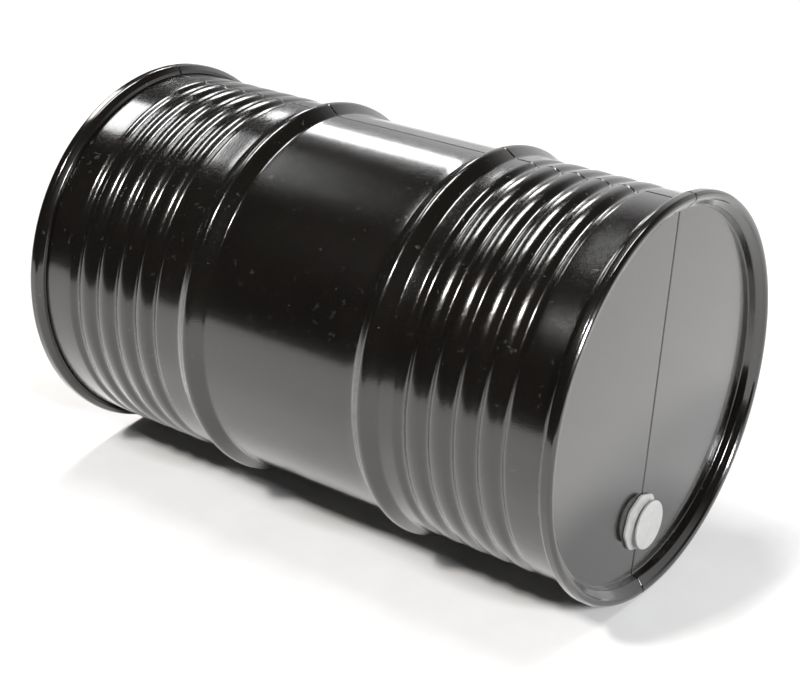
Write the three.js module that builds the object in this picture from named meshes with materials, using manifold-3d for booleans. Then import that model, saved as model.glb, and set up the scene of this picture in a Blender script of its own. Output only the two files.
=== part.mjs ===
// A 200-litre class steel drum lying on its side, made of two mirrored halves that meet on one
// plane through its axis. Millimetres, +Z up. The axis runs along X, the head with the screw plug
// faces +X, and the origin is on the floor below the middle of the drum.
import * as THREE from 'three';
import { mergeVertices } from 'three/addons/utils/BufferGeometryUtils.js';
import Module from 'manifold-3d';

const wasm = await Module();
wasm.setup();

// Overall
const LENGTH = 941;
const RIM_RADIUS = 292.5;
const BODY_RADIUS = 276.5;
const FACETS = 28;
const GAP = 0.3;

// The split between the halves leans this far from vertical, with its top towards +Y.
const SPLIT_LEAN = THREE.MathUtils.degToRad(6.9);

// Body sheet: a plain middle, two rolling hoops, and slightly wider end sections with five
// grooves pressed into each
const SHELL_SHEET = 1.2;
const HOOP_CENTRE = 9;
const HOOP_OFFSET = 158;
const HOOP_RADIUS = 290.5;
const HOOP_FOOT = 23;
const HOOP_CREST = 8;
const END_RADIUS = 279.3;
const GROOVES = 5;
const FIRST_GROOVE = 227;
const GROOVE_PITCH = 39;
const GROOVE_RADIUS = 275;
const GROOVE_FOOT = 10.5;
const GROOVE_BOTTOM = 3;

// Heads, measured from the end plane inwards
const HEAD_SHEET = 1.5;
const HEAD_DEPTH = 21.5;
const HEAD_FLAT_RADIUS = 264;
const RIM_INNER_RADIUS = 279.3;
const RIM_HEIGHT = 24.5;

// Strips behind the split
const STRAP_SHEET = 1.5;
const STRAP_WIDTH = 40;
const STRAP_END_CLEARANCE = 28;

// Screw plug and flange, on the split near the lower rim. Heights are above the head's face.
const BUNG_OFFSET = 184.5;
const BUNG_FACETS = 24;
const FLANGE_ACROSS_FLATS = 80.5;
const FLANGE_TURN = THREE.MathUtils.degToRad(25);
const FLANGE_SEAT = 1.6;
const FLANGE_EDGE = 4.2;
const SHOULDER_HEIGHT = 7;
const NECK_TOP = 12.6;
const NECK_RADIUS = 32.8;
const NECK_DEPTH = 8;
const BORE_RADIUS = 30.2;
const THREAD_RADIUS = 29.8;
const THREAD_DEPTH = 6;
const PLUG_BORE_RADIUS = 26;
const CAP_RADIUS = 36;
const CAP_UNDERSIDE = 14.4;
const CAP_TOP = 18.2;
const CAP_EDGE = 1.2;

const AXIS_HEIGHT = RIM_RADIUS;
const FRONT_END = LENGTH / 2;
const REAR_END = -LENGTH / 2;
const FRONT = 1;
const REAR = -1;
const LEFT = -1;
const RIGHT = 1;

// Colours
const BLACK_PAINT = { color: 0x0b0a09, roughness: 0.22, metalness: 0.0 };
const BARE_STEEL = { color: 0x6d6f70, roughness: 0.45, metalness: 1.0 };
const SILVER_PAINT = { color: 0xb9bbbb, roughness: 0.35, metalness: 0.3 };
const BLACK_RUBBER = { color: 0x17171a, roughness: 0.8, metalness: 0.0 };
const COMPOUND = { color: 0x8a7f68, roughness: 0.9, metalness: 0.0 };

// The point u millimetres inwards from one end plane, as a position along the drum.
function inward(end, u) {
  return end === FRONT ? FRONT_END - u : REAR_END + u;
}

// ---- solids ----

// Triangles with three different corners, turned so that the body's faces point out.
function closedIndex(positions, index) {
  const kept = [];
  let volume = 0;
  const [a, b, c] = [new THREE.Vector3(), new THREE.Vector3(), new THREE.Vector3()];
  for (let i = 0; i < index.length; i += 3) {
    const [i0, i1, i2] = [index[i], index[i + 1], index[i + 2]];
    if (i0 === i1 || i1 === i2 || i2 === i0) continue;
    kept.push(i0, i1, i2);
    a.fromArray(positions, 3 * i0);
    b.fromArray(positions, 3 * i1);
    c.fromArray(positions, 3 * i2);
    volume += a.dot(b.cross(c));
  }
  return volume < 0 ? kept.reverse() : kept;
}

function solid(geometry) {
  const bare = geometry.clone();
  bare.deleteAttribute('normal');
  bare.deleteAttribute('uv');
  const merged = mergeVertices(bare, 1e-3);
  const vertProperties = merged.attributes.position.array;
  const triVerts = new Uint32Array(closedIndex(vertProperties, merged.index.array));
  return new wasm.Manifold(new wasm.Mesh({ numProp: 3, vertProperties, triVerts }));
}

function geometryOf(body) {
  const { vertProperties, triVerts } = body.getMesh();
  const geometry = new THREE.BufferGeometry();
  geometry.setAttribute('position', new THREE.BufferAttribute(vertProperties, 3));
  geometry.setIndex(new THREE.BufferAttribute(triVerts, 1));
  geometry.computeVertexNormals();
  return geometry;
}

// Turns a profile of [radius, position along X] about the X axis. The facets' flats have the
// profile's radii, and one flat faces straight down.
function revolve(profile, facets) {
  const flatsToCorners = 1 / Math.cos(Math.PI / facets);
  const points = profile.map(([radius, x]) => new THREE.Vector2(radius * flatsToCorners, x));
  const geometry = new THREE.LatheGeometry(points, facets, Math.PI / facets);
  return geometry.rotateZ(-Math.PI / 2);
}

// The line moved sideways by a distance, mitred at its corners. On a line that runs towards +X
// the positive side is the one nearer the axis.
function parallelLine(line, distance) {
  return line.map(([r, x], i) => {
    const before = line[Math.max(i - 1, 0)];
    const after = line[Math.min(i + 1, line.length - 1)];
    const d0 = new THREE.Vector2(r - before[0], x - before[1]).normalize();
    const d1 = new THREE.Vector2(after[0] - r, after[1] - x).normalize();
    if (i === 0) d0.copy(d1);
    if (i === line.length - 1) d1.copy(d0);
    const middle = d0.clone().add(d1).normalize();
    const reach = distance / middle.dot(d0);
    return [r - middle.y * reach, x + middle.x * reach];
  });
}

// The closed outline of a sheet whose middle follows the line.
function sheetOutline(line, thickness) {
  const back = parallelLine(line, -thickness / 2).reverse();
  const outline = [...parallelLine(line, thickness / 2), ...back];
  return [...outline, outline[0]];
}

// A sheet whose line starts on the axis has both of its faces start there.
function discOutline(line, thickness) {
  const outline = sheetOutline(line, thickness).slice(0, -1);
  outline[0][0] = 0;
  outline[outline.length - 1][0] = 0;
  return outline;
}

// A block beside the split plane, from offset to offset + width across it.
function splitBlock(offset, width, low, high) {
  const block = new THREE.BoxGeometry(2 * LENGTH, width, high - low);
  block.translate(0, offset + width / 2, (low + high) / 2);
  return solid(block.rotateX(-SPLIT_LEAN));
}

const BIG = 2 * RIM_RADIUS;
const HALF_SPACES = {
  [LEFT]: splitBlock(-GAP / 2 - BIG, BIG, -BIG, BIG),
  [RIGHT]: splitBlock(GAP / 2, BIG, -BIG, BIG),
};

function halfOf(body, side) {
  return body.intersect(HALF_SPACES[side]);
}

// The part of a body that bridges the split between two distances from the axis.
function bridgeOf(body, low, high) {
  return body.intersect(splitBlock(-STRAP_WIDTH / 2, STRAP_WIDTH, low, high));
}

// ---- body ----

// The body sheet's flange at one end, from its hook inside the rim to the end section's wall.
function flangeLine(end) {
  return [
    [288.6, inward(end, 18)],
    [288.6, inward(end, 7)],
    [285.6, inward(end, 3.6)],
    [282.6, inward(end, 9)],
    [END_RADIUS - SHELL_SHEET / 2, inward(end, 23)],
  ];
}

// Grooves and hoop on one side of the drum's middle, from the outermost groove inwards.
function ribLine(end) {
  const wall = END_RADIUS - SHELL_SHEET / 2;
  const bottom = GROOVE_RADIUS - SHELL_SHEET / 2;
  const crest = HOOP_RADIUS - SHELL_SHEET / 2;
  const hoop = HOOP_CENTRE + end * HOOP_OFFSET;
  const line = [];
  for (let k = GROOVES - 1; k >= 0; k -= 1) {
    const groove = FIRST_GROOVE + GROOVE_PITCH * k;
    line.push([wall, end * (groove + GROOVE_FOOT)]);
    line.push([bottom, end * (groove + GROOVE_BOTTOM)]);
    line.push([bottom, end * (groove - GROOVE_BOTTOM)]);
    line.push([wall, end * (groove - GROOVE_FOOT)]);
  }
  line.push([wall, hoop + end * HOOP_FOOT]);
  line.push([crest, hoop + end * HOOP_CREST]);
  line.push([crest, hoop - end * HOOP_CREST]);
  line.push([BODY_RADIUS - SHELL_SHEET / 2, hoop - end * HOOP_FOOT]);
  return line;
}

function shellLine() {
  const rear = [...flangeLine(REAR), ...ribLine(REAR)];
  const front = [...flangeLine(FRONT), ...ribLine(FRONT)].reverse();
  return [...rear, ...front];
}

const shell = solid(revolve(sheetOutline(shellLine(), SHELL_SHEET), FACETS));

// The strip inside the body follows the same hoops and grooves, one gap inside the sheet.
function strapLine() {
  const inset = (SHELL_SHEET + STRAP_SHEET) / 2 + GAP;
  const wall = END_RADIUS - SHELL_SHEET / 2;
  const reach = STRAP_END_CLEARANCE + 12;
  const line = [
    [wall, inward(REAR, reach)],
    ...ribLine(REAR),
    ...ribLine(FRONT).reverse(),
    [wall, inward(FRONT, reach)],
  ];
  return parallelLine(line, inset);
}

const strapRing = solid(revolve(sheetOutline(strapLine(), STRAP_SHEET), FACETS));

// ---- heads and rims ----

// The head sheet from its centre up the recess wall, over the rim and round its curl.
function headLine(end) {
  const half = HEAD_SHEET / 2;
  return [
    [0, inward(end, HEAD_DEPTH + half)],
    [HEAD_FLAT_RADIUS, inward(end, HEAD_DEPTH + half)],
    [269.5, inward(end, 18.5)],
    [RIM_INNER_RADIUS + half, inward(end, 6.5)],
    [281.8, inward(end, 2)],
    [284.2, inward(end, half)],
    [288.2, inward(end, half)],
    [RIM_RADIUS - half, inward(end, 4.8)],
    [RIM_RADIUS - half, inward(end, RIM_HEIGHT - 2.6)],
    [290, inward(end, RIM_HEIGHT - half)],
    [285, inward(end, RIM_HEIGHT - half)],
  ];
}

// Compound between the recess wall and the body's flange.
function sealOutline(end) {
  return [
    [277.6, inward(end, 12.4)],
    [280.2, inward(end, 12.4)],
    [277.9, inward(end, 20.6)],
    [273.6, inward(end, 20.6)],
    [272.8, inward(end, 19.2)],
    [277.6, inward(end, 12.4)],
  ];
}

function head(end) {
  return solid(revolve(discOutline(headLine(end), HEAD_SHEET), FACETS));
}

function rimSeal(end) {
  return solid(revolve(sealOutline(end), FACETS));
}

// A flat strip behind a head, between two distances from the axis along the split.
function headStrap(end, low, high) {
  const backOfHead = inward(end, HEAD_DEPTH + HEAD_SHEET + GAP + STRAP_SHEET / 2);
  const strip = new THREE.BoxGeometry(STRAP_SHEET, STRAP_WIDTH, high - low);
  return strip.translate(0, 0, (low + high) / 2).rotateX(-SPLIT_LEAN).translate(backOfHead, 0, 0);
}

// ---- screw plug and flange, drawn about the X axis with the head's face at x = 0 ----

function ring(inner, outer, low, high, facets = BUNG_FACETS) {
  const outline = [[inner, low], [outer, low], [outer, high], [inner, high], [inner, low]];
  return revolve(outline, facets);
}

function rod(radius, low, high) {
  return revolve([[0, low], [radius, low], [radius, high], [0, high]], BUNG_FACETS);
}

function flangePlate() {
  const flats = FLANGE_ACROSS_FLATS / 2;
  const outline = [
    [0, FLANGE_SEAT],
    [flats, FLANGE_SEAT],
    [flats, FLANGE_EDGE - 0.8],
    [flats - 0.8, FLANGE_EDGE],
    [NECK_RADIUS + 1.5, SHOULDER_HEIGHT],
    [0, SHOULDER_HEIGHT],
  ];
  return revolve(outline, 8).rotateX(FLANGE_TURN);
}

function flangeNeck() {
  const lipTop = -HEAD_SHEET - GAP;
  const outline = [
    [0, -NECK_DEPTH],
    [NECK_RADIUS, -NECK_DEPTH],
    [NECK_RADIUS, lipTop - 2],
    [NECK_RADIUS + 4, lipTop - 1.5],
    [NECK_RADIUS + 4, lipTop],
    [NECK_RADIUS, lipTop],
    [NECK_RADIUS, NECK_TOP],
    [0, NECK_TOP],
  ];
  return revolve(outline, BUNG_FACETS);
}

function bungFlange() {
  const outer = solid(flangePlate()).add(solid(flangeNeck()));
  return geometryOf(outer.subtract(solid(rod(BORE_RADIUS, -LENGTH, LENGTH))));
}

function bungPlug() {
  const outline = [
    [0, CAP_UNDERSIDE - 2],
    [PLUG_BORE_RADIUS, CAP_UNDERSIDE - 2],
    [PLUG_BORE_RADIUS, -THREAD_DEPTH],
    [THREAD_RADIUS, -THREAD_DEPTH],
    [THREAD_RADIUS, CAP_UNDERSIDE],
    [CAP_RADIUS, CAP_UNDERSIDE],
    [CAP_RADIUS, CAP_TOP - CAP_EDGE],
    [CAP_RADIUS - CAP_EDGE, CAP_TOP],
    [0, CAP_TOP],
  ];
  return geometryOf(solid(revolve(outline, BUNG_FACETS)));
}

// ---- the drum ----

const drum = new THREE.Group();
drum.position.z = AXIS_HEIGHT;

const bungSeat = new THREE.Group();
bungSeat.position.set(
  inward(FRONT, HEAD_DEPTH),
  -BUNG_OFFSET * Math.sin(SPLIT_LEAN),
  -BUNG_OFFSET * Math.cos(SPLIT_LEAN),
);
drum.add(bungSeat);

function piece(name, geometry, look, parent = drum) {
  const mesh = new THREE.Mesh(geometry, new THREE.MeshStandardMaterial(look));
  mesh.name = name;
  parent.add(mesh);
}

const BUNG_HOLE_RADIUS = NECK_RADIUS + GAP;
const bungHole = solid(rod(BUNG_HOLE_RADIUS, -LENGTH, LENGTH)).translate(
  0,
  bungSeat.position.y,
  bungSeat.position.z,
);
const heads = { front: head(FRONT).subtract(bungHole), rear: head(REAR) };
const seals = { front: rimSeal(FRONT), rear: rimSeal(REAR) };

for (const [name, side] of [['left', LEFT], ['right', RIGHT]]) {
  piece(`shell_${name}`, geometryOf(halfOf(shell, side)), BLACK_PAINT);
  for (const end of ['front', 'rear']) {
    piece(`${end}_head_${name}`, geometryOf(halfOf(heads[end], side)), BLACK_PAINT);
    piece(`${end}_rim_seal_${name}`, geometryOf(halfOf(seals[end], side)), COMPOUND);
  }
}

piece('seam_strap_upper', geometryOf(bridgeOf(strapRing, 0, BIG)), BARE_STEEL);
piece('seam_strap_lower', geometryOf(bridgeOf(strapRing, -BIG, 0)), BARE_STEEL);

const STRAP_REACH = HEAD_FLAT_RADIUS - 4;
const BUNG_CLEARANCE = NECK_RADIUS + 8;
piece('rear_head_strap', headStrap(REAR, -STRAP_REACH, STRAP_REACH), BARE_STEEL);
piece(
  'front_head_strap_upper',
  headStrap(FRONT, -BUNG_OFFSET + BUNG_CLEARANCE, STRAP_REACH),
  BARE_STEEL,
);
piece(
  'front_head_strap_lower',
  headStrap(FRONT, -STRAP_REACH, -BUNG_OFFSET - BUNG_CLEARANCE),
  BARE_STEEL,
);

const flangeGasket = ring(NECK_RADIUS + GAP, 38, GAP, FLANGE_SEAT - GAP);
const plugGasket = ring(BORE_RADIUS, 34, NECK_TOP + GAP, CAP_UNDERSIDE - GAP);
piece('bung_flange', bungFlange(), SILVER_PAINT, bungSeat);
piece('flange_gasket', flangeGasket, BLACK_RUBBER, bungSeat);
piece('plug_gasket', plugGasket, BLACK_RUBBER, bungSeat);
piece('bung_plug', bungPlug(), SILVER_PAINT, bungSeat);

export default drum;
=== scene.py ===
import math

import bpy
import bmesh
import numpy as np
from mathutils import Matrix, Vector

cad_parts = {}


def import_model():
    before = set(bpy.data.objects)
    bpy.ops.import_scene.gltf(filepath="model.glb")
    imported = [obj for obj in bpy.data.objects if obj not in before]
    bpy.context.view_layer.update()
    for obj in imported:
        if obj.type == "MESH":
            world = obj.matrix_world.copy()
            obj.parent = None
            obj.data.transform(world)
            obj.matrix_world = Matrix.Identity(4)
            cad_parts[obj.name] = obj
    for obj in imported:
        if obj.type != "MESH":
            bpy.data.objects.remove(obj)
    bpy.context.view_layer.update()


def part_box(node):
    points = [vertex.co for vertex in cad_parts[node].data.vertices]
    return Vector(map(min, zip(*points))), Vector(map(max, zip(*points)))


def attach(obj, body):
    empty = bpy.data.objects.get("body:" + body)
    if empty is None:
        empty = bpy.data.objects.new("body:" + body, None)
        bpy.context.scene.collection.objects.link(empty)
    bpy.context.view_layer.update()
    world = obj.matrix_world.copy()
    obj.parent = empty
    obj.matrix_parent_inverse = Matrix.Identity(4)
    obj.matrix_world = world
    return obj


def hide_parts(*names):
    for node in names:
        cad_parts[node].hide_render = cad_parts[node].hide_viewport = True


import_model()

MM = 0.001

# ---- driving dimensions, in millimetres ----

END_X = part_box("front_head_left")[1].x / MM
RIM_RADIUS = 292.5
AXIS_Z = 292.5
SHEET = 1.2

# The body: a plain middle, a hoop on each side, and wider end sections with grooves. The depth
# of a groove and the height of a hoop are those of their sharp corners, before rounding.
BODY_RADIUS = 276.5
END_RADIUS = 279.3
HOOP_CENTRE = 9.0
HOOP_OFFSET = 158.0
HOOP_PEAK_RADIUS = 293.3
HOOP_FOOT = 23.0
HOOP_CREST_FILLET = 12
HOOP_END_FILLET = 8
HOOP_BODY_FILLET = 6
GROOVES = 5
FIRST_GROOVE = 227.0
GROOVE_PITCH = 39.0
GROOVE_DEPTH = 5.6
GROOVE_HALF = 11.0
GROOVE_FILLET = 10
RIDGE_CROWN = 1.3
RIDGE_FILLET = 30

# The split between the halves: its gap, how far its edges curl in, and its lean
SPLIT_GAP = 1.7
SPLIT_EDGE = 1.7
SPLIT_LEAN = math.radians(6.9)

HEAD_DEPTH = 21.5
HEAD_FLAT_RADIUS = 264.0

# Strips behind the split
STRAP_SHEET = 1.5
STRAP_HALF = 20
STRAP_INSET = SHEET + SPLIT_EDGE + 0.4
BODY_STRAP_REACH = 430
HEAD_STRAP_REACH = 258
HEAD_STRAP_CORNER = 5

# The closure's place up the split, its hole and the room that the strips leave for it
BUNG_OFFSET = 184.5
HOLE_RADIUS = 33.4
BUNG_CLEARANCE = 42

# How closely the sheets are drawn
WALL_STEP = 2.2
PLAIN_STEP = 12
SHELL_STATIONS = 112
HEAD_STATIONS = 150

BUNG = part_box("bung_plug")
BUNG_Y = (BUNG[0].y + BUNG[1].y) / 2 / MM
BUNG_Z = (BUNG[0].z + BUNG[1].z) / 2 / MM
FACE_X = END_X - HEAD_DEPTH

FRONT, REAR = 1, -1
LEFT, RIGHT = -1, 1

# The split's own directions: across it towards the right half, and up along it.
ACROSS = Vector((0, math.cos(SPLIT_LEAN), -math.sin(SPLIT_LEAN)))
ALONG = Vector((0, math.sin(SPLIT_LEAN), math.cos(SPLIT_LEAN)))
AXIS = Vector((0, 0, AXIS_Z))


def place(x, across, along):
    """A point in metres from its place along the drum, across the split and up along it."""
    return (Vector((x, 0, 0)) + AXIS + ACROSS * across + ALONG * along) * MM


# ---- outlines, as lists of (x, radius) ----

def inward(end, u):
    """The place along the drum that is u inside one end plane."""
    return end * (END_X - u)


def arc_corner(before, corner, after, radius, steps):
    """Points that round a corner of an outline with an arc."""
    b, c, a = (np.array(p, float) for p in (before, corner, after))
    u, v = b - c, a - c
    lu, lv = np.linalg.norm(u), np.linalg.norm(v)
    u, v = u / lu, v / lv
    half = math.acos(max(-1, min(1, float(u @ v)))) / 2
    cut = radius / math.tan(half)
    cut = min(cut, 0.49 * lu, 0.49 * lv)
    r = cut * math.tan(half)
    middle = c + (u + v) / np.linalg.norm(u + v) * (r / math.sin(half))
    start, end = c + u * cut, c + v * cut
    s, e = start - middle, end - middle
    turn = math.acos(max(-1, min(1, float(s @ e) / (r * r))))
    if turn < 1e-6:
        return [tuple(c)]
    points = []
    for k in range(steps + 1):
        t = k / steps
        w0, w1 = math.sin((1 - t) * turn), math.sin(t * turn)
        points.append(tuple(middle + (s * w0 + e * w1) / math.sin(turn)))
    return points


def rounded(corners, steps=8):
    """An open outline from (x, radius, corner radius) entries."""
    points = [tuple(corners[0][:2])]
    for i in range(1, len(corners) - 1):
        x, r, fillet = corners[i]
        if fillet:
            points += arc_corner(corners[i - 1][:2], (x, r), corners[i + 1][:2], fillet, steps)
        else:
            points.append((x, r))
    points.append(tuple(corners[-1][:2]))
    return points


def end_wall(end):
    """Corners of one end section and its hoop, from the outermost groove towards the middle."""
    corners = []
    for k in range(GROOVES - 1, -1, -1):
        groove = FIRST_GROOVE + GROOVE_PITCH * k
        ridge = groove - GROOVE_PITCH / 2
        corners.append((end * (groove + GROOVE_HALF), END_RADIUS, GROOVE_FILLET))
        corners.append((end * groove, END_RADIUS - GROOVE_DEPTH, GROOVE_FILLET))
        corners.append((end * (groove - GROOVE_HALF), END_RADIUS, GROOVE_FILLET))
        if k > 0:
            corners.append((end * ridge, END_RADIUS + RIDGE_CROWN, RIDGE_FILLET))
    hoop = HOOP_CENTRE + end * HOOP_OFFSET
    corners.append((hoop + end * HOOP_FOOT, END_RADIUS, HOOP_END_FILLET))
    corners.append((hoop, HOOP_PEAK_RADIUS, HOOP_CREST_FILLET))
    corners.append((hoop - end * HOOP_FOOT, BODY_RADIUS, HOOP_BODY_FILLET))
    return corners


WALL_CORNERS = [
    (-END_X, END_RADIUS, 0),
    *end_wall(REAR),
    *end_wall(FRONT)[::-1],
    (END_X, END_RADIUS, 0),
]
WALL_PLACES, WALL_RADII = np.array(rounded(WALL_CORNERS, 10)).T


def wall_radius(x):
    """The body's radius at a place along the drum, over its hoops and grooves."""
    return float(np.interp(x, WALL_PLACES, WALL_RADII))


def spaced(start, stop, step):
    """Evenly spaced values from start to stop, about a step apart."""
    count = max(1, round(abs(stop - start) / step))
    return [start + (stop - start) * k / count for k in range(count + 1)]


def wall_line(start, stop, inset=0.0):
    """The wall between two places, closely spaced on shapes and loosely where it is plain."""
    xs = [start]
    for x in spaced(start, stop, WALL_STEP)[1:]:
        plain = wall_radius(x - 2) == wall_radius(x) == wall_radius(x + 2)
        if not plain or x - xs[-1] > PLAIN_STEP:
            xs.append(x)
    xs.append(stop)
    return [(x, wall_radius(x) - inset) for x in xs if x == stop or stop - x > 0.5]


def flange_line(end):
    """The body's flange inside a rim, from its hook to the end section's wall."""
    return rounded([
        (inward(end, 18), 289.2, 0),
        (inward(end, 5), 289.2, 1.4),
        (inward(end, 3.2), 286, 1.4),
        (inward(end, 9), 283.2, 2),
        (inward(end, 20), END_RADIUS, 5),
        (inward(end, 36), END_RADIUS, 0),
    ], 5)


def shell_line():
    """The body's whole outline, from one hook to the other."""
    rear = flange_line(REAR)
    front = flange_line(FRONT)[::-1]
    wall = wall_line(rear[-1][0], front[0][0])
    return rear + wall[1:-1] + front


def rim_line(end):
    """The head from its flat face up the recess wall, over the rim and down its outside."""
    return rounded([
        (inward(end, HEAD_DEPTH), HEAD_FLAT_RADIUS - 3, 0),
        (inward(end, HEAD_DEPTH), HEAD_FLAT_RADIUS - 2, 0),
        (inward(end, HEAD_DEPTH), 267.6, 2.5),
        (inward(end, 11), 270.6, 5),
        (inward(end, 4), 279.2, 3),
        (inward(end, 1.2), 281.4, 2),
        (inward(end, 0), 284.5, 3),
        (inward(end, 0), 289.0, 4),
        (inward(end, 4.5), RIM_RADIUS, 4.5),
        (inward(end, 16), RIM_RADIUS, 8),
        (inward(end, 23.6), 285, 3),
        (inward(end, 24.6), 280.4, 0),
    ], 7)


# ---- mesh building ----

def new_object(name, vertices, faces, smooth=True):
    """An object from a mesh's points and faces, with doubled points joined."""
    mesh = bpy.data.meshes.new(name)
    mesh.from_pydata([tuple(v) for v in vertices], [], faces)
    mesh.update()
    work = bmesh.new()
    work.from_mesh(mesh)
    bmesh.ops.remove_doubles(work, verts=work.verts, dist=1e-7)
    bmesh.ops.dissolve_degenerate(work, edges=work.edges, dist=1e-8)
    work.to_mesh(mesh)
    work.free()
    for polygon in mesh.polygons:
        polygon.use_smooth = smooth
    obj = bpy.data.objects.new(name, mesh)
    bpy.context.scene.collection.objects.link(obj)
    return obj


# Stations beside the split, in widths of its curled edge
EDGE_STEPS = [0, 0.15, 0.4, 0.75, 1.0, 1.6]


def edge_drop(distance):
    """How far a sheet curls in at a distance from the split's edge."""
    if distance >= SPLIT_EDGE:
        return 0.0
    t = 1 - distance / SPLIT_EDGE
    return SPLIT_EDGE * (1 - math.sqrt(1 - t * t)) * 0.9


def half_stations(radius, count):
    """(across, along, drop) round half a circle, from the split's top edge to its bottom edge."""
    near = [SPLIT_GAP / 2 + SPLIT_EDGE * s for s in EDGE_STEPS]
    limit = math.acos(near[-1] / radius)
    top = [(a, math.sqrt(radius * radius - a * a), edge_drop(a - SPLIT_GAP / 2)) for a in near]
    middle = []
    for k in range(1, count):
        angle = limit - 2 * limit * k / count
        middle.append((radius * math.cos(angle), radius * math.sin(angle), 0.0))
    bottom = [(a, -b, d) for a, b, d in reversed(top)]
    return top + middle + bottom


def unit(vectors):
    """The vectors at length one."""
    return vectors / np.maximum(np.linalg.norm(vectors, axis=-1, keepdims=True), 1e-12)


def bisectors(points):
    """Directions along the first axis of a grid of points, shared fairly between both sides."""
    steps = unit(np.diff(points, axis=0))
    ends = np.concatenate([steps[:1], steps]), np.concatenate([steps, steps[-1:]])
    return unit(ends[0] + ends[1])


def half_grid(line, side, count, outward=1):
    """Points of a half-turned outline, with its split edges curled in. One row per point."""
    along_line = bisectors(np.array(line, float))
    rows = []
    for (x, radius), (dx, dr) in zip(line, along_line):
        nx, nr = -dr * outward, dx * outward
        row = []
        for across, along, drop in half_stations(radius, count):
            scale = 1 - drop * nr / radius
            across = max(across * scale, SPLIT_GAP / 2)
            row.append(place(x - drop * nx, side * across, along * scale))
        rows.append(row)
    return rows


def grid_faces(rows, columns, flip=False):
    """Four-sided faces between the points of a grid."""
    faces = []
    for i in range(rows - 1):
        for j in range(columns - 1):
            a = i * columns + j
            quad = (a, a + 1, a + columns + 1, a + columns)
            faces.append(quad[::-1] if flip else quad)
    return faces


def grid_normals(points):
    """Unit normals of a grid of points, all towards the same side of it."""
    down = bisectors(points)
    round_ = np.swapaxes(bisectors(np.swapaxes(points, 0, 1)), 0, 1)
    return unit(np.cross(down, round_))


def grid_border(count, columns):
    """The grid's edge from the first row's start down, across and back up to its end."""
    first = [i * columns for i in range(count)]
    last = [count * columns - columns + j for j in range(1, columns)]
    return first + last + [i * columns + columns - 1 for i in range(count - 2, -1, -1)]


def sheet(name, points, normals, faces, border):
    """A closed sheet from its outer face: normals lead from each point into the sheet."""
    outer = np.array(points, float)
    inner = outer + np.array(normals) * SHEET * MM
    size = len(outer)
    both = [tuple(face) for face in faces]
    both += [tuple(i + size for i in reversed(face)) for face in faces]
    both += [(a, b, b + size, a + size) for a, b in zip(border, border[1:] + border[:1])]
    obj = new_object(name, np.concatenate([outer, inner]), both)
    outside(obj)
    obj.data.set_sharp_from_angle(angle=math.radians(50))
    return obj


def half_shell(name, side):
    """Half the body as one closed sheet."""
    points = np.array(half_grid(shell_line(), side, SHELL_STATIONS), float)
    count, columns = points.shape[:2]
    normals = grid_normals(points)
    if normals[count // 2, columns // 2] @ np.array(ACROSS * side) > 0:
        normals = -normals
    border = grid_border(count, columns)
    border += [j for j in range(columns - 2, 0, -1)]
    faces = grid_faces(count, columns)
    return sheet(name, points.reshape(-1, 3), normals.reshape(-1, 3), faces, border)


def head_half(name, end, side, hole):
    """Half a head: a flat face, the recess wall, the rim and its curl under the body's hook.

    hole is the radius of the notch that leaves room for the closure, or None."""
    points = np.array(half_grid(rim_line(end), side, HEAD_STATIONS, outward=-end), float)
    count, columns = points.shape[:2]
    normals = grid_normals(points)
    if normals[0, columns // 2, 0] * end > 0:
        normals = -normals
    faces = grid_faces(count, columns)
    border = grid_border(count, columns)
    last, steps = columns - 1, len(EDGE_STEPS)
    face_x = inward(end, HEAD_DEPTH)
    top, bottom = list(range(steps)), [last - j for j in range(steps)]
    arc = list(range(steps - 1, columns - steps + 1))
    extra, extra_normals = [], []

    def seam_points(along, like):
        """Points across the curled edge, at a height up the split."""
        found = []
        for step, source in zip(EDGE_STEPS, like):
            out = SPLIT_EDGE * step
            x = face_x - end * edge_drop(out)
            extra.append(place(x, side * (SPLIT_GAP / 2 + out), along))
            extra_normals.append(normals[0, source])
            found.append(count * columns + len(extra) - 1)
        return found

    strips = [(top, bottom)]
    flat = arc
    if hole:
        across = SPLIT_GAP / 2 + SPLIT_EDGE * EDGE_STEPS[-1]
        reach = math.sqrt(hole * hole - across * across)
        upper = seam_points(reach - BUNG_OFFSET, top)
        lower = seam_points(-reach - BUNG_OFFSET, bottom)
        notch = []
        start = math.asin(reach / hole)
        steps_round = 40
        for k in range(1, steps_round):
            angle = -start + 2 * start * k / steps_round
            y, z = hole * math.cos(angle), hole * math.sin(angle) - BUNG_OFFSET
            extra.append(place(face_x, side * y, z))
            extra_normals.append((-end, 0, 0))
            notch.append(count * columns + len(extra) - 1)
        strips = [(top, upper), (lower, bottom)]
        flat = arc + [lower[-1]] + notch + [upper[-1]]
        border += lower + notch + upper[::-1]
    for start, stop in strips:
        for j in range(steps - 1):
            faces.append((start[j], stop[j], stop[j + 1], start[j + 1]))
    faces.append(flat)
    points = np.concatenate([points.reshape(-1, 3), np.array(extra, float).reshape(-1, 3)])
    normals = np.concatenate([normals.reshape(-1, 3), np.array(extra_normals).reshape(-1, 3)])
    return sheet(name, points, normals, faces, border)


def solidify(obj):
    """Gives a strip its thickness, on the side away from its normals."""
    modifier = obj.modifiers.new("sheet", "SOLIDIFY")
    modifier.thickness = STRAP_SHEET * MM
    modifier.offset = -1
    return obj


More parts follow.
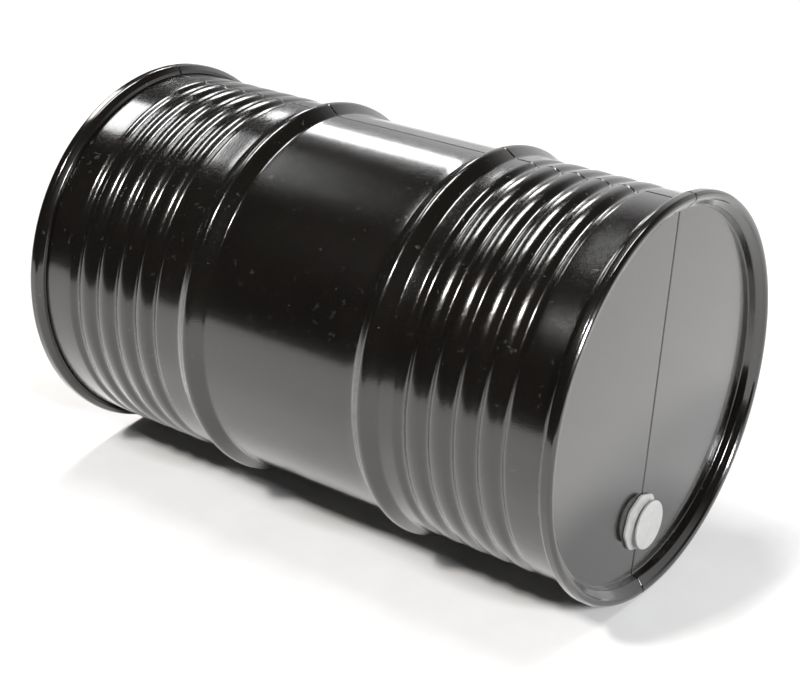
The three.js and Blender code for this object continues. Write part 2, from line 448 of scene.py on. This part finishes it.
def half_ring(name, outline, side, count=96):
    """A closed section turned through half a circle, with flat ends at the split."""
    rows = []
    for x, radius in outline:
        angles = [math.pi / 2 - math.pi * k / count for k in range(count + 1)]
        rows.append([
            place(x, side * max(radius * math.cos(a), SPLIT_GAP / 2), radius * math.sin(a))
            for a in angles
        ])
    rows.append(rows[0])
    columns = len(rows[0])
    vertices = [v for row in rows for v in row]
    faces = grid_faces(len(rows), columns)
    last = (len(rows) - 1) * columns
    faces.append(tuple(range(0, last, columns)))
    faces.append(tuple(range(columns - 1, last, columns))[::-1])
    obj = new_object(name, vertices, faces)
    outside(obj)
    return obj


def outside(obj):
    """Turns a closed mesh's faces outwards."""
    work = bmesh.new()
    work.from_mesh(obj.data)
    bmesh.ops.recalc_face_normals(work, faces=work.faces)
    work.to_mesh(obj.data)
    work.free()


def strap_strip(name, upper):
    """The strip inside the body that bridges the split, following the ribs."""
    line = wall_line(-BODY_STRAP_REACH, BODY_STRAP_REACH, inset=STRAP_INSET)
    sign = 1 if upper else -1
    vertices = []
    columns = 17
    for x, radius in line:
        for k in range(columns):
            across = -STRAP_HALF + 2 * STRAP_HALF * k / (columns - 1)
            vertices.append(place(x, across, sign * math.sqrt(radius * radius - across * across)))
    faces = grid_faces(len(line), columns, flip=upper)
    return solidify(new_object(name, vertices, faces))


def head_strap(name, end, low, high):
    """A flat strip with rounded corners behind a head."""
    x = inward(end, HEAD_DEPTH + STRAP_INSET)
    half, corner = STRAP_HALF, HEAD_STRAP_CORNER
    vertices = []
    for cx, cz, start in ((half, high, 0), (-half, high, 90), (-half, low, 180), (half, low, 270)):
        ox = cx - math.copysign(corner, cx)
        oz = cz - corner if cz == high else cz + corner
        for k in range(9):
            angle = math.radians(start + 90 * k / 8)
            vertices.append(place(x, ox + corner * math.cos(angle), oz + corner * math.sin(angle)))
    face = tuple(range(len(vertices)))
    obj = new_object(name, vertices, [face if end == FRONT else face[::-1]], smooth=False)
    return solidify(obj)


# ---- closure ----

# Heights are above the head's face. The thread has 11 turns to the inch.
PITCH = 25.4 / 11
THREAD_SWING = 0.6
THREAD_STEP = 0.26
FLANGE_FLATS = 80.5 / 2
FLANGE_TURN = math.radians(115)
FLANGE_RADIUS = 43.6
FLATS_TO_RADIUS = 0.92
SHOULDER_RADIUS = 34.5
SHOULDER_BLEND = 4.5
NECK_RADIUS = 32.8
NECK_TOP = 12.6
BORE_RADIUS = 29.7
SHANK_RADIUS = 29.0
CAP_RADIUS = 36.0
CAP_UNDERSIDE = 14.4
CAP_TOP = 18.2


def turned(name, outline, count=160, shape=None):
    """A closed outline of (height, radius) turned about the closure's axis.

    shape(height, radius, angle) may change the radius round the turn."""
    vertices, faces = [], []
    for height, radius in outline:
        for k in range(count):
            angle = 2 * math.pi * k / count
            r = shape(height, radius, angle) if shape else radius
            vertices.append(Vector((
                FACE_X + height, BUNG_Y + r * math.cos(angle), BUNG_Z + r * math.sin(angle)
            )) * MM)
    rows = len(outline)
    starts_on_axis = outline[0][1] < 1e-6
    for i in range(rows - 1 if starts_on_axis else rows):
        for j in range(count):
            a, b = i * count + j, i * count + (j + 1) % count
            n = (i + 1) % rows
            c, d = n * count + (j + 1) % count, n * count + j
            faces.append((a, b, c, d))
    obj = new_object(name, vertices, faces)
    outside(obj)
    return obj


def thread(height, angle):
    """How far a thread stands out at a height and an angle."""
    return THREAD_SWING * math.cos(2 * math.pi * height / PITCH - angle)


def octagon_radius(angle, flats):
    """The radius of an eight-sided outline with rounded corners."""
    sector = math.pi / 4
    away = (angle - FLANGE_TURN + sector / 2) % sector - sector / 2
    sharp = flats / math.cos(away)
    corner = flats / math.cos(sector / 2)
    round_limit = flats + (corner - flats) * 0.45
    soft = 1.3
    blend = max(0.0, min(1.0, (sharp - (round_limit - soft)) / (2 * soft)))
    return sharp * (1 - blend) + min(sharp, round_limit + (sharp - round_limit) * 0.25) * blend


def flange_shape(height, radius, angle):
    """Eight-sided at the flange's edge, round at its shoulder, and threaded in its bore."""
    if radius > SHOULDER_RADIUS and height > 0:
        flats = FLANGE_FLATS - (FLANGE_RADIUS - radius) * FLATS_TO_RADIUS
        eight = octagon_radius(angle, flats)
        share = min(1.0, (radius - SHOULDER_RADIUS) / SHOULDER_BLEND)
        return eight * share + radius * (1 - share)
    if radius < 31:
        return radius + thread(height, angle)
    return radius


def flange():
    """The flange: a neck through the head, a lip behind it and an eight-sided plate on it."""
    outer = rounded([
        (-8.0, 30.2, 0),
        (-8.0, NECK_RADIUS, 0.8),
        (-3.8, NECK_RADIUS, 0.5),
        (-3.2, 36.8, 0.5),
        (-1.8, 36.8, 0.5),
        (-1.8, NECK_RADIUS, 0.4),
        (1.6, NECK_RADIUS, 0.3),
        (1.6, 42.0, 0.2),
        (0.5, 42.3, 0.2),
        (0.5, FLANGE_RADIUS, 0.3),
        (4.2, FLANGE_RADIUS, 0.9),
        (5.0, 40.2, 2.0),
        (7.0, 34.6, 2.2),
        (NECK_TOP, 32.4, 0.5),
        (NECK_TOP, 30.2, 0),
    ], 6)
    bore = [(height, BORE_RADIUS) for height in spaced(12.2, -7.6, THREAD_STEP)]
    return turned("bung_flange_body", outer + bore, shape=flange_shape)


def plug_shape(height, radius, angle):
    """Threaded on its shank, with the thread fading out at both ends."""
    if abs(radius - SHANK_RADIUS) < 0.5 and height < 13.6:
        lead_in = min(1.0, max(0.0, (height + 6) / 2.2))
        run_out = min(1.0, max(0.0, (13.4 - height) / 1.2))
        return radius + thread(height, angle) * lead_in * run_out
    return radius


def plug():
    """The plug: a hollow threaded shank under a flat round cap."""
    cap = rounded([
        (CAP_UNDERSIDE, SHANK_RADIUS, 0),
        (CAP_UNDERSIDE, CAP_RADIUS, 0.6),
        (CAP_TOP, CAP_RADIUS, 1.5),
        (CAP_TOP, 33.0, 0),
    ], 8)
    face = [(CAP_TOP, radius) for radius in (28, 20, 12, 5, 0)]
    inside = rounded([
        (12.4, 0.0, 0),
        (12.4, 26.0, 1.5),
        (-6.0, 26.0, 0.4),
        (-6.0, 28.0, 0),
    ], 4)
    shank = [(height, SHANK_RADIUS) for height in spaced(-5.6, 14.0, THREAD_STEP)]
    return turned("bung_plug_body", inside + shank + cap + face, shape=plug_shape)


def gasket(name, inner, outer, bottom, top):
    """A flat ring with a bulging outer edge."""
    bulge = min(0.5, (top - bottom) / 2.2)
    outline = rounded([
        ((bottom + top) / 2, inner, 0),
        (bottom, inner, 0.2),
        (bottom, outer, bulge),
        (top, outer, bulge),
        (top, inner, 0.2),
        ((bottom + top) / 2, inner, 0),
    ], 5)
    return turned(name, outline[:-1], count=128)


# ---- materials ----

class Look:
    """A material's node tree, with short calls for the nodes it uses."""

    def __init__(self, name):
        self.material = bpy.data.materials.new(name)
        self.material.use_nodes = True
        self.tree = self.material.node_tree
        self.shader = self.tree.nodes["Principled BSDF"]
        self.place = self.tree.nodes.new("ShaderNodeTexCoord").outputs["Object"]

    def set(self, **values):
        for key, value in values.items():
            self.shader.inputs[key.replace("_", " ")].default_value = value

    def link(self, output, socket):
        self.tree.links.new(output, self.shader.inputs[socket])

    def noise(self, scale, detail=2.0, rough=0.5, stretch=None, seed=0.0):
        node = self.tree.nodes.new("ShaderNodeTexNoise")
        node.inputs["Scale"].default_value = scale
        node.inputs["Detail"].default_value = detail
        node.inputs["Roughness"].default_value = rough
        moved = self.tree.nodes.new("ShaderNodeMapping")
        moved.inputs["Location"].default_value = (seed, seed * 0.7, -seed)
        moved.inputs["Scale"].default_value = stretch or (1, 1, 1)
        self.tree.links.new(self.place, moved.inputs["Vector"])
        self.tree.links.new(moved.outputs["Vector"], node.inputs["Vector"])
        return node.outputs["Fac"]

    def cells(self, scale, seed=0.0):
        node = self.tree.nodes.new("ShaderNodeTexVoronoi")
        node.inputs["Scale"].default_value = scale
        moved = self.tree.nodes.new("ShaderNodeMapping")
        moved.inputs["Location"].default_value = (seed, -seed, seed * 0.3)
        self.tree.links.new(self.place, moved.inputs["Vector"])
        self.tree.links.new(moved.outputs["Vector"], node.inputs["Vector"])
        return node.outputs["Distance"]

    def ramp(self, value, stops):
        node = self.tree.nodes.new("ShaderNodeValToRGB")
        elements = node.color_ramp.elements
        while len(elements) > 1:
            elements.remove(elements[-1])
        for i, (at, colour) in enumerate(stops):
            element = elements[0] if i == 0 else elements.new(at)
            element.position = at
            element.color = (*colour, 1) if hasattr(colour, "__len__") else (colour,) * 3 + (1,)
        self.tree.links.new(value, node.inputs["Fac"])
        return node.outputs["Color"]

    def math(self, operation, a, b=0.0, c=None):
        node = self.tree.nodes.new("ShaderNodeMath")
        node.operation = operation
        for socket, value in zip(node.inputs, (a, b, c)):
            if value is None:
                continue
            if isinstance(value, (int, float)):
                socket.default_value = value
            else:
                self.tree.links.new(value, socket)
        return node.outputs["Value"]

    def mix(self, share, a, b):
        node = self.tree.nodes.new("ShaderNodeMix")
        node.data_type = "RGBA"
        for socket, value in ((node.inputs[0], share), (node.inputs[6], a), (node.inputs[7], b)):
            if isinstance(value, (int, float)):
                socket.default_value = value
            elif isinstance(value, tuple):
                socket.default_value = (*value, 1)
            else:
                self.tree.links.new(value, socket)
        return node.outputs[2]

    def bump(self, layers, socket="Normal"):
        """Stacks bumps of (height output, strength, depth in metres)."""
        normal = None
        for height, strength, depth in layers:
            node = self.tree.nodes.new("ShaderNodeBump")
            node.inputs["Strength"].default_value = strength
            node.inputs["Distance"].default_value = depth
            self.tree.links.new(height, node.inputs["Height"])
            if normal is not None:
                self.tree.links.new(normal, node.inputs["Normal"])
            normal = node.outputs["Normal"]
        self.tree.links.new(normal, self.shader.inputs[socket])


def black_gloss(name, peel=1.0, seed=0.0):
    """Gloss black paint with a sparkling grain, orange peel and fine dust."""
    look = Look(name)
    look.set(Metallic=0.0, IOR=1.45, Coat_Weight=1.0, Coat_Roughness=0.03, Coat_IOR=1.5)
    tone = look.noise(7, 3, 0.6, seed=seed)
    paint = look.ramp(tone, [(0.3, (0.0034, 0.0027, 0.0021)), (0.7, (0.0060, 0.0050, 0.0040))])
    speck = look.cells(620, seed)
    dust_here = look.math("GREATER_THAN", look.noise(90, 1, 0.5, seed=seed + 3), 0.70)
    dust = look.math("MULTIPLY", look.math("LESS_THAN", speck, 0.2), dust_here)
    look.link(look.mix(look.math("MULTIPLY", dust, 0.5), paint, (0.55, 0.53, 0.50)), "Base Color")
    haze = look.math("MULTIPLY_ADD", look.noise(3.2, 4, 0.6, seed=seed + 9), 0.05, 0.14)
    look.link(look.math("MAXIMUM", haze, look.math("MULTIPLY", dust, 0.7)), "Roughness")
    grain = look.noise(620, 2, 0.6, seed=seed + 2)
    peel_wave = look.noise(26, 2, 0.5, seed=seed + 1)
    look.bump([(peel_wave, 1.0, 0.00004 * peel), (grain, 1.0, 0.00020 * peel)], "Normal")
    look.bump([(peel_wave, 1.0, 0.00004 * peel), (grain, 1.0, 0.00007 * peel)], "Coat Normal")
    return look.material


def silver_paint(name):
    """Light silver paint with a fine unevenness."""
    look = Look(name)
    look.set(Metallic=0.0, IOR=1.45, Coat_Weight=0.25, Coat_Roughness=0.2)
    tone = look.noise(60, 3, 0.6)
    look.link(look.ramp(tone, [(0.3, (0.37, 0.37, 0.36)), (0.7, (0.43, 0.43, 0.42))]), "Base Color")
    look.link(look.math("MULTIPLY_ADD", look.noise(180, 2), 0.16, 0.30), "Roughness")
    look.bump([(look.noise(900, 3, 0.6), 0.6, 0.00002), (look.noise(120, 2), 0.5, 0.00008)])
    return look.material


def bare_steel(name):
    """Steel sheet darkened to near black as painted shade, so the strap seen through the split reads as
    a dark gap; marks along its rolling direction.
    """
    look = Look(name)
    look.set(Metallic=1.0)
    tone = look.noise(40, 4, 0.6)
    # Near-black base colour, far below bare steel: painted shade for the gap of the split
    look.link(look.ramp(tone, [(0.3, (0.09, 0.085, 0.08)), (0.7, (0.16, 0.155, 0.15))]), "Base Color")
    rolled = look.noise(400, 2, 0.5, stretch=(0.04, 1, 1))
    look.link(look.math("MULTIPLY_ADD", rolled, 0.25, 0.25), "Roughness")
    look.bump([(rolled, 0.4, 0.00003)])
    return look.material


def gasket_rubber(name):
    """Matte black rubber."""
    look = Look(name)
    look.set(Metallic=0.0)
    tone = look.noise(150, 3, 0.6)
    look.link(look.ramp(tone, [(0.3, (0.014, 0.014, 0.015)), (0.7, (0.03, 0.03, 0.032))]), "Base Color")
    look.link(look.math("MULTIPLY_ADD", look.noise(300, 2), 0.2, 0.65), "Roughness")
    look.bump([(look.noise(1200, 2), 0.5, 0.00003)])
    return look.material


def compound(name):
    """Matte tan sealing compound with an uneven surface."""
    look = Look(name)
    look.set(Metallic=0.0)
    tone = look.noise(80, 4, 0.6)
    look.link(look.ramp(tone, [(0.3, (0.20, 0.165, 0.11)), (0.7, (0.30, 0.255, 0.18))]), "Base Color")
    look.link(look.math("MULTIPLY_ADD", look.noise(200, 2), 0.15, 0.75), "Roughness")
    look.bump([(look.noise(260, 3, 0.6), 0.7, 0.0003)])
    return look.material


# ---- the drum's pieces ----

def fit(obj, material, slot_name, body, *nodes):
    """Gives a piece its look and its place in the frame."""
    obj.data.materials.append(material)
    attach(obj, body)
    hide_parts(*nodes)
    return obj


body_paint = black_gloss("body_black_gloss", 1.0, 0.0)
head_paint = black_gloss("head_black_gloss", 0.45, 5.0)
silver = silver_paint("closure_silver_paint")
# The strap steel's near-black colour is painted shade, so the split's gap reads dark
steel = bare_steel("strap_steel_painted_shade")
rubber = gasket_rubber("gasket_rubber")
sealant = compound("rim_compound")

def rim_compound(name, end, side):
    """Half a ring of sealing compound in the fold between head and body."""
    section = rounded([
        (inward(end, 12.8), 279.0, 0),
        (inward(end, 12.8), 280.4, 0.4),
        (inward(end, 20.4), 277.4, 0.4),
        (inward(end, 20.4), 272.4, 0.4),
        (inward(end, 12.8), 277.6, 0.4),
        (inward(end, 12.8), 279.0, 0),
    ], 3)
    return half_ring(name, section[:-1], side)


for side_name, side in (("left", LEFT), ("right", RIGHT)):
    shell = half_shell(f"body_{side_name}", side)
    fit(shell, body_paint, "black_paint", "drum", f"shell_{side_name}")
    for end_name, end in (("front", FRONT), ("rear", REAR)):
        hole = HOLE_RADIUS if end == FRONT else None
        head = head_half(f"{end_name}_head_{side_name}_skin", end, side, hole)
        fit(head, head_paint, "black_paint", "drum", f"{end_name}_head_{side_name}")
        seal = rim_compound(f"{end_name}_rim_compound_{side_name}", end, side)
        fit(seal, sealant, "sealing_compound", "drum", f"{end_name}_rim_seal_{side_name}")

for place_name, upper in (("upper", True), ("lower", False)):
    strip = strap_strip(f"body_strap_{place_name}", upper)
    fit(strip, steel, "bare_steel", "drum", f"seam_strap_{place_name}")
for name, end, low, high in (
    ("rear_head_strap", REAR, -HEAD_STRAP_REACH, HEAD_STRAP_REACH),
    ("front_head_strap_upper", FRONT, -BUNG_OFFSET + BUNG_CLEARANCE, HEAD_STRAP_REACH),
    ("front_head_strap_lower", FRONT, -HEAD_STRAP_REACH, -BUNG_OFFSET - BUNG_CLEARANCE),
):
    fit(head_strap(f"{name}_strip", end, low, high), steel, "bare_steel", "drum", name)

fit(flange(), silver, "silver_paint", "drum", "bung_flange")
flange_ring = gasket("flange_gasket_ring", 33.2, 38.5, 0.1, 1.5)
fit(flange_ring, rubber, "gasket_rubber", "drum", "flange_gasket")
plug_ring = gasket("plug_gasket_ring", 30.4, 33.6, 12.8, 14.2)
fit(plug_ring, rubber, "gasket_rubber", "lifting_gasket", "plug_gasket")
fit(plug(), silver, "silver_paint", "plug", "bung_plug")


# ---- floor, light and camera ----

FLOOR_REACH = 9
FLOOR_FRONT = -2.8


def floor():
    """A plain pale floor that ends a little in front of the drum."""
    mesh = bpy.data.meshes.new("floor")
    corners = [
        (-FLOOR_REACH, FLOOR_FRONT, 0),
        (FLOOR_REACH, FLOOR_FRONT, 0),
        (FLOOR_REACH, FLOOR_REACH, 0),
        (-FLOOR_REACH, FLOOR_REACH, 0),
    ]
    mesh.from_pydata(corners, [], [(0, 1, 2, 3)])
    obj = bpy.data.objects.new("floor", mesh)
    bpy.context.scene.collection.objects.link(obj)
    look = Look("pale_floor")
    look.set(Roughness=0.95, Specular_IOR_Level=0.1)
    tone = look.noise(9, 5, 0.65)
    look.link(look.ramp(tone, [(0.3, (0.83, 0.82, 0.81)), (0.7, (0.87, 0.865, 0.86))]), "Base Color")
    mesh.materials.append(look.material)


LIGHT_DISTANCE = 8.0
LIGHT_CENTRE = Vector((0, 0, 0.3))


def soft_light(name, lean, turn, along, around, radiance, colour=(1, 1, 1), glossy=True,
               diffuse=True):
    """A soft box that faces the middle of the drum.

    lean is how much of its direction lies along X and turn its angle about X from +Y; along and
    around are its angular spans in degrees, and radiance how bright its face is."""
    across = math.sqrt(1 - lean * lean)
    angle = math.radians(turn)
    direction = Vector((lean, across * math.cos(angle), across * math.sin(angle)))
    data = bpy.data.lights.new(name, "AREA")
    data.shape = "RECTANGLE"
    data.size = 2 * LIGHT_DISTANCE * math.tan(math.radians(along) / 2)
    data.size_y = 2 * LIGHT_DISTANCE * math.tan(math.radians(around) / 2)
    data.energy = math.pi * data.size * data.size_y * radiance
    data.color = colour
    side = Vector((1, 0, 0))
    side = (side - direction * side.dot(direction)).normalized()
    up = direction.cross(side)
    obj = bpy.data.objects.new(name, data)
    obj.matrix_world = Matrix((
        (side.x, up.x, direction.x, 0),
        (side.y, up.y, direction.y, 0),
        (side.z, up.z, direction.z, 0),
        (0, 0, 0, 1),
    ))
    obj.location = direction * LIGHT_DISTANCE + LIGHT_CENTRE
    obj.visible_camera = False
    obj.visible_glossy = glossy
    obj.visible_diffuse = diffuse
    bpy.context.scene.collection.objects.link(obj)


def studio():
    """The soft boxes. Those without diffuse only show in the gloss."""
    soft_light("key", -0.20, 128, 6, 6, 175, (1, 0.97, 0.94))
    soft_light("right_box", 0.80, 127, 10, 10, 105, (0.97, 0.985, 1))
    soft_light("top_box", -0.24, 80, 9, 30, 24)
    soft_light("left_high_box", -0.71, 76, 6, 20, 11, diffuse=False)
    soft_light("back_strip", -0.575, 38.5, 8.5, 9, 12, diffuse=False)
    soft_light("back_right_fill", 0.35, 45, 16, 16, 9, glossy=False)


BACKDROP_GLOW = 0.8
ROOM_GLOW = 0.03


def world():
    """A dark room with a pale backdrop behind the drum's rear end, and white for the camera."""
    scene = bpy.context.scene
    scene.world = bpy.data.worlds.new("studio")
    scene.world.use_nodes = True
    tree = scene.world.node_tree
    background = tree.nodes["Background"]
    place_node = tree.nodes.new("ShaderNodeTexCoord")
    parts = tree.nodes.new("ShaderNodeSeparateXYZ")
    tree.links.new(place_node.outputs["Generated"], parts.inputs[0])

    def step(value, start, stop):
        node = tree.nodes.new("ShaderNodeMapRange")
        node.interpolation_type = "SMOOTHSTEP"
        node.inputs["From Min"].default_value = start
        node.inputs["From Max"].default_value = stop
        tree.links.new(value, node.inputs["Value"])
        return node.outputs["Result"]

    def times(a, b):
        node = tree.nodes.new("ShaderNodeMath")
        node.operation = "MULTIPLY"
        tree.links.new(a, node.inputs[0])
        tree.links.new(b, node.inputs[1])
        return node.outputs[0]

    behind_rear = step(parts.outputs["X"], -0.72, -0.52)
    near_floor = step(parts.outputs["Z"], 0.75, 0.35)
    right_of_axis = step(parts.outputs["Y"], 0.15, 0.45)
    backdrop = times(times(behind_rear, near_floor), right_of_axis)
    glow = tree.nodes.new("ShaderNodeMath")
    glow.operation = "MULTIPLY_ADD"
    tree.links.new(backdrop, glow.inputs[0])
    glow.inputs[1].default_value = BACKDROP_GLOW
    glow.inputs[2].default_value = ROOM_GLOW
    path = tree.nodes.new("ShaderNodeLightPath")
    lift = tree.nodes.new("ShaderNodeMath")
    lift.operation = "MAXIMUM"
    tree.links.new(path.outputs["Is Camera Ray"], lift.inputs[0])
    tree.links.new(glow.outputs[0], lift.inputs[1])
    tree.links.new(lift.outputs[0], background.inputs["Strength"])
    background.inputs["Color"].default_value = (1, 1, 1, 1)
    scene.view_settings.view_transform = "Standard"
    scene.view_settings.look = "None"


CAMERA_AZIMUTH = math.radians(37.36)
CAMERA_ELEVATION = math.radians(25.92)
CAMERA_DISTANCE = 2.639
CAMERA_AIM = Vector((0.0225, -0.0104, 0.2474))
CAMERA_LENS = 79.5
CAMERA_SENSOR = 36


def camera():
    """The camera, above the drum's front left."""
    data = bpy.data.cameras.new("camera")
    data.lens = CAMERA_LENS
    data.sensor_width = CAMERA_SENSOR
    data.clip_end = 100
    obj = bpy.data.objects.new("camera", data)
    away = Vector((
        math.sin(CAMERA_AZIMUTH) * math.cos(CAMERA_ELEVATION),
        -math.cos(CAMERA_AZIMUTH) * math.cos(CAMERA_ELEVATION),
        math.sin(CAMERA_ELEVATION),
    ))
    obj.location = CAMERA_AIM + away * CAMERA_DISTANCE
    obj.rotation_euler = (-away).to_track_quat("-Z", "Y").to_euler()
    bpy.context.scene.collection.objects.link(obj)
    bpy.context.scene.camera = obj


floor()
studio()
world()
camera()
